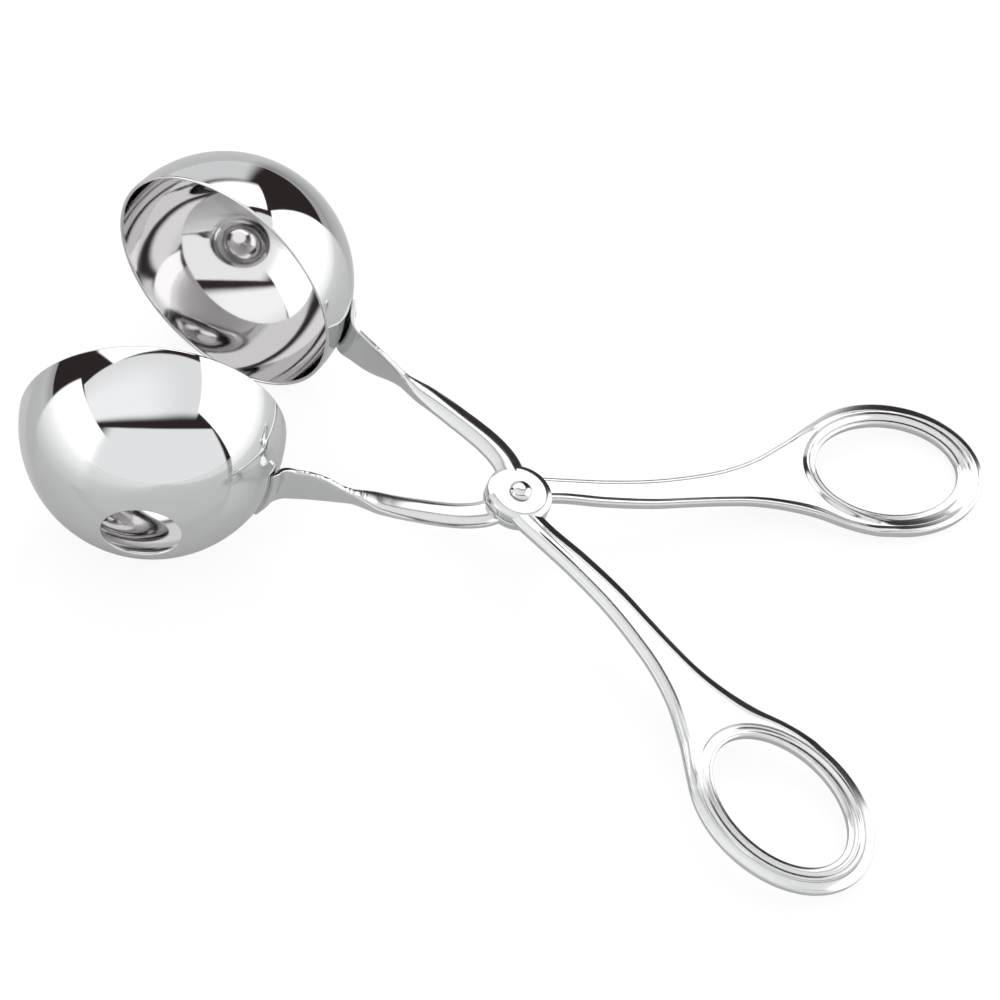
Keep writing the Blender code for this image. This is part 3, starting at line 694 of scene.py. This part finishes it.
# %% Colour and node helpers
def linear(code):
    """sRGB to linear: c / 12.92 up to 0.04045, else ((c + 0.055) / 1.055) ^ 2.4."""
    values = [int(code[k:k + 2], 16) / 255 for k in (1, 3, 5)]
    return tuple(v / 12.92 if v <= 0.04045 else ((v + 0.055) / 1.055) ** 2.4 for v in values) + (1.0,)


def add(tree, kind, settings=None, **links):
    """A node of the given kind; settings are its own properties, links are input values or output sockets."""
    node = tree.nodes.new(kind)
    for name, value in (settings or {}).items():
        setattr(node, name, value)
    for name, value in links.items():
        socket = node.inputs[int(name[1:])] if name[1:].isdigit() else node.inputs[name.replace("_", " ")]
        if isinstance(value, bpy.types.NodeSocket):
            tree.links.new(value, socket)
        else:
            socket.default_value = value
    return node


def new_material(name):
    """An empty node material with its output."""
    material = bpy.data.materials.new(name)
    material.use_nodes = True
    material.node_tree.nodes.clear()
    return material, material.node_tree, add(material.node_tree, "ShaderNodeOutputMaterial")


print("middle grey #808080 is", round(linear("#808080")[0], 3), "in linear light")

# %% [markdown]
# ## Chrome plate
# Chromium reflects a little over half of the light, nearly without colour and a touch cool. The grey starts
# there and is raised to what this bright plate shows. The plate copies every wave of the steel below: soft
# waves a few millimetres long from pressing and buffing, and very fine buffing lines. The waves bend
# reflections, the lines and the faint smears only blur them. Real buffing lines are a few hundredths of a
# millimetre apart. They are drawn about ten times coarser, because anything finer than a pixel flickers.

# %% Chrome plate on pressed and on spun steel
# Smears are about a fingertip wide. The lines run along X, where the pattern is stretched twelve times.
PLATE_GREY = "#DADBDC"
SMEAR_SIZE = 9 * MM
SMEAR_RANGE = (0.35, 0.75)
LINE_STRETCH = (0.08, 1.0, 1.0)


def chrome_plate(name, colour, roughness, smear, wave_mm, wave_depth_mm, line_mm, line_depth_mm):
    """Roughness = roughness + smear x noise; height = waves + fine buffing lines, as a bump."""
    material, tree, output = new_material(name)
    place = add(tree, "ShaderNodeTexCoord").outputs["Object"]
    cloud = add(tree, "ShaderNodeTexNoise", Vector=place, Scale=1 / SMEAR_SIZE, Detail=4.0, Roughness=0.6)
    rough = add(tree, "ShaderNodeMapRange", Value=cloud.outputs["Fac"], From_Min=SMEAR_RANGE[0],
                From_Max=SMEAR_RANGE[1], To_Min=roughness, To_Max=roughness + smear)
    waves = add(tree, "ShaderNodeTexNoise", Vector=place, Scale=1 / (wave_mm * MM), Detail=1.0)
    stretched = add(tree, "ShaderNodeMapping", Vector=place, Scale=LINE_STRETCH).outputs["Vector"]
    lines = add(tree, "ShaderNodeTexNoise", Vector=stretched, Scale=1 / (line_mm * MM), Detail=2.0)
    broad = add(tree, "ShaderNodeBump", Height=waves.outputs["Fac"], Strength=1.0,
                Distance=wave_depth_mm * MM)
    fine = add(tree, "ShaderNodeBump", Height=lines.outputs["Fac"], Strength=1.0,
               Distance=line_depth_mm * MM, Normal=broad.outputs["Normal"])
    shader = add(tree, "ShaderNodeBsdfPrincipled", Metallic=1.0, Base_Color=linear(colour),
                 Roughness=rough.outputs["Result"], Normal=fine.outputs["Normal"])
    tree.links.new(shader.outputs["BSDF"], output.inputs["Surface"])
    return material


# Pressed levers: a bright plate whose reflections have slightly soft edges, as buffed pressings have.
lever_chrome = chrome_plate("chrome_plate_on_pressed_steel", PLATE_GREY, 0.14, 0.06, 5.0, 0.010, 0.25, 0.0006)
# Outside of the cups: a clear mirror that shows each board of the studio with a crisp edge.
cup_chrome = chrome_plate("chrome_plate_on_spun_steel", PLATE_GREY, 0.02, 0.03, 9.0, 0.010, 0.3, 0.0002)
# Inside of the cups: the same plate on steel left as spun, a little wavier and less sharp.
inner_chrome = chrome_plate("chrome_plate_left_as_spun", "#E0DFDF", 0.05, 0.03, 6.0, 0.016, 0.3, 0.0008)
# Rivet: bright steel, a little satin, with the small dents that setting leaves.
rivet_steel = chrome_plate("bright_steel_rivet", "#D8D8D9", 0.10, 0.08, 1.2, 0.004, 0.2, 0.0008)

# %% Finishes on the pieces
for piece in (*bosses.values(), *arms.values(), *handles.values()):
    piece.data.materials.append(lever_chrome)
for piece in cups.values():
    piece.data.materials.append(cup_chrome)
    piece.data.materials.append(inner_chrome)
    column = np.arange(len(piece.data.polygons)) % len(cup_profile())
    piece.data.polygons.foreach_set("material_index", (column >= INNER_START).astype(np.int32))
rivet.data.materials.append(rivet_steel)
print("inner wall of each cup starts at face column", INNER_START, "of", len(cup_profile()))

# %% [markdown]
# ## The studio
# Each softbox is a flat board, seen from the tongs as a bright rectangle whose straight edges bow like
# the picture in a polished ball. They live in the world shader: a board that faces the bearing a0 puts a
# direction d at u = d.t / d.n and v = d.z / d.n, and it glows where u and v lie between its edges. Lamps
# would do as well, but a board in the world costs no noise and its edges can be as soft as one likes.

# %% Boards round the table
# name: bearing that the board stands at (None lies overhead), its left and right edge, its foot and top,
# how soft these four edges are, all in degrees; how far its sides lean, as width per height; light level
OVERHEAD_TURN = math.radians(24)
BOARDS = {
    "overhead": (None, -59, 40.7, -31, 24.5, (0.6, 1, 5, 1), (0, 0.15), 1.0),
    "overhead_glow": (None, -62, 6, -32, 8, (6, 22, 5, 16), (0, 0), 1.2),
    "left": (-150, -28, 38, -20, 30.2, (1.5, 12, 1, 0.5), (0, 0), 1.75),
    "front": (-68, -52, 58.5, -20, 47.5, (8, 1, 1, 1), (0, 0), 1.06),
    "right": (26, -31, 33.6, -20, 53.5, (0.6, 1, 1, 0.8), (-0.1, 0.09), 1.75),
    "back_low": (110, -12, 40, -20, 30, (4, 2, 1, 4), (0, 0), 0.82),
    "back": (120, -9, 27, 34.5, 62.6, (1, 2, 4, 1.2), (-0.62, 0.33), 2.0),
}
GAP_LEVEL = 0.035
AHEAD_LIMIT = 0.001
print("board levels", {name: edges[-1] for name, edges in BOARDS.items()})


def board_axes(bearing):
    """Axes n, t, b = (cos a, sin a, 0), (-sin a, cos a, 0), Z of a wall board; Z, n, t of one overhead."""
    turn = OVERHEAD_TURN if bearing is None else math.radians(bearing)
    ahead, aside = (math.cos(turn), math.sin(turn), 0), (-math.sin(turn), math.cos(turn), 0)
    return ((0, 0, 1), ahead, aside) if bearing is None else (ahead, aside, (0, 0, 1))


def board(tree, way, below, bearing, left, right, foot, top, soft, leans, level):
    """below + m (level - below): m multiplies four smooth steps in u = d.t/d.n - lean v and v = d.b/d.n."""
    dots = (add(tree, "ShaderNodeVectorMath", {"operation": "DOT_PRODUCT"}, _0=way, _1=axis)
            for axis in board_axes(bearing))
    ahead, u, v = (dot.outputs["Value"] for dot in dots)
    front = add(tree, "ShaderNodeMath", {"operation": "MAXIMUM"}, _0=ahead, _1=AHEAD_LIMIT)
    mask = add(tree, "ShaderNodeMath", {"operation": "GREATER_THAN"}, _0=ahead, _1=AHEAD_LIMIT)
    u, v = (add(tree, "ShaderNodeMath", {"operation": "DIVIDE"}, _0=part, _1=front.outputs[0]).outputs[0]
            for part in (u, v))
    sides = ((u, left, soft[0], leans[0], True), (u, right, soft[1], leans[1], False),
             (v, foot, soft[2], 0, True), (v, top, soft[3], 0, False))
    for part, edge, blur, lean_share, rising in sides:
        if lean_share:
            part = add(tree, "ShaderNodeMath", {"operation": "MULTIPLY_ADD"}, _0=v, _1=-lean_share,
                       _2=part).outputs[0]
        low, high = (math.tan(math.radians(edge + sign * blur)) for sign in (-1, 1))
        step = add(tree, "ShaderNodeMapRange", {"interpolation_type": "SMOOTHSTEP"}, Value=part, From_Min=low,
                   From_Max=high, To_Min=0.0 if rising else 1.0, To_Max=1.0 if rising else 0.0)
        mask = add(tree, "ShaderNodeMath", {"operation": "MULTIPLY"}, _0=mask.outputs[0],
                   _1=step.outputs["Result"])
    change = add(tree, "ShaderNodeMath", {"operation": "SUBTRACT"}, _0=level, _1=below)
    return add(tree, "ShaderNodeMath", {"operation": "MULTIPLY_ADD"}, _0=mask.outputs[0],
               _1=change.outputs[0], _2=below).outputs[0]


# %% [markdown]
# The world lays the boards one over the other on a nearly black room. Between bright boards a room looks
# warm and brownish in chrome, so the shade mixes from rosy to white as the light level rises. The camera
# itself sees plain white behind the tongs.

# %% World shader
WHITE = "#FFFFFF"
GAP_TINT = "#FFDCE0"
TINT_GAIN = 2.5

world = bpy.data.worlds.new("studio")
world.use_nodes = True
room = world.node_tree
room.nodes.clear()
bearings = add(room, "ShaderNodeTexCoord").outputs["Generated"]
dark_room = add(room, "ShaderNodeValue")
dark_room.outputs[0].default_value = GAP_LEVEL
glow_level = dark_room.outputs[0]
for edges in BOARDS.values():
    glow_level = board(room, bearings, glow_level, *edges)
seen = add(room, "ShaderNodeLightPath").outputs["Is Camera Ray"]
whiteness = add(room, "ShaderNodeMath", {"operation": "MULTIPLY"}, _0=glow_level, _1=TINT_GAIN).outputs[0]
shade = add(room, "ShaderNodeMix", {"data_type": "RGBA"}, Factor=whiteness, _6=linear(GAP_TINT),
            _7=linear(WHITE)).outputs[2]
lit = add(room, "ShaderNodeBackground", Color=shade, Strength=glow_level)
plain = add(room, "ShaderNodeBackground", Color=linear(WHITE), Strength=1.0)
either = add(room, "ShaderNodeMixShader", _0=seen, _1=lit.outputs[0], _2=plain.outputs[0])
add(room, "ShaderNodeOutputWorld", Surface=either.outputs[0])
bpy.context.scene.world = world
print(len(BOARDS), "boards,", len(room.nodes), "nodes in the world")

# %% [markdown]
# ## The floor
# The tongs lie on a sheet of white gloss board that fills the picture. Lit by the room alone it would
# come out grey, so most of what the camera sees of it is plain white, and the rest is the lit board, which
# keeps the soft contact shadow. The chrome's lower half mirrors the floor, a little darker than white and
# brighter towards the two strongest boards, where painted pools of light raise the floor's own glow, as a
# real sheet is brighter near its lamps.

# %% Floor
# name: bearing, where the painted pool of light starts and where it is full, in millimetres, and how much
# glow it adds
FLOOR_PAINTED_LIGHT_POOLS = {"left": (-150, 85, 230, 0.7), "right": (20, 120, 260, 0.6)}
CAMERA_SHARE, MIRROR_SHARE = 0.82, 0.3
CAMERA_LEVEL, MIRROR_LEVEL = 1.07, 0.2
FLOOR_RADIUS = 6.0
FLOOR_CORNERS = 96
FLOOR_DROP = 0.02 * MM


def studio_floor():
    """Share s of plain glow on a lit board, 1 - s; the glow gains smoothstep(p.d) towards two boards as
    painted pools of light.
    """
    material, tree, output = new_material("white_gloss_board")
    place = add(tree, "ShaderNodeTexCoord").outputs["Object"]
    rays = add(tree, "ShaderNodeLightPath")
    seen, mirrored = rays.outputs["Is Camera Ray"], rays.outputs["Is Glossy Ray"]
    camera_share = add(tree, "ShaderNodeMath", {"operation": "MULTIPLY"}, _0=seen, _1=CAMERA_SHARE)
    share = add(tree, "ShaderNodeMath", {"operation": "MULTIPLY_ADD"}, _0=mirrored, _1=MIRROR_SHARE,
                _2=camera_share.outputs[0])
    strength = add(tree, "ShaderNodeMath", {"operation": "MULTIPLY_ADD"}, _0=mirrored,
                   _1=MIRROR_LEVEL - CAMERA_LEVEL, _2=CAMERA_LEVEL).outputs[0]
    # Painted pools of light: the floor's glow grows towards the left and right boards.
    for bearing, near, far, gain in FLOOR_PAINTED_LIGHT_POOLS.values():
        turn = math.radians(bearing)
        along = add(tree, "ShaderNodeVectorMath", {"operation": "DOT_PRODUCT"}, _0=place,
                    _1=(math.cos(turn), math.sin(turn), 0)).outputs["Value"]
        painted_light_pool = add(tree, "ShaderNodeMapRange", {"interpolation_type": "SMOOTHSTEP"}, Value=along,
                   From_Min=near * MM, From_Max=far * MM, To_Min=0.0, To_Max=gain)
        strength = add(tree, "ShaderNodeMath", {"operation": "ADD"}, _0=painted_light_pool.outputs["Result"],
                       _1=strength).outputs[0]
    sheet = add(tree, "ShaderNodeBsdfPrincipled", Base_Color=linear("#E6E6E5"), Roughness=0.1)
    glow = add(tree, "ShaderNodeEmission", Color=linear(WHITE), Strength=strength)
    # When the tongs open wide, one cup dips 2.5 mm under the sheet. The camera sees it through the sheet.
    window = add(tree, "ShaderNodeBsdfTransparent", Color=(CAMERA_LEVEL,) * 3 + (1.0,))
    pane = add(tree, "ShaderNodeMixShader", _0=seen, _1=glow.outputs[0], _2=window.outputs[0])
    mix = add(tree, "ShaderNodeMixShader", _0=share.outputs[0], _1=sheet.outputs[0], _2=pane.outputs[0])
    tree.links.new(mix.outputs[0], output.inputs["Surface"])
    angle = np.linspace(0, 2 * math.pi, FLOOR_CORNERS, endpoint=False)
    points = np.stack([FLOOR_RADIUS * np.cos(angle), FLOOR_RADIUS * np.sin(angle), 0 * angle - FLOOR_DROP],
                      axis=1)
    mesh = bpy.data.meshes.new("floor")
    mesh.from_pydata(points.tolist(), [], [list(range(FLOOR_CORNERS))])
    mesh.materials.append(material)
    floor = bpy.data.objects.new("floor", mesh)
    bpy.context.collection.objects.link(floor)


studio_floor()
bpy.context.scene.view_settings.view_transform = "Standard"
print("floor", 2 * FLOOR_RADIUS, "m across, seen as white at a share of", CAMERA_SHARE)
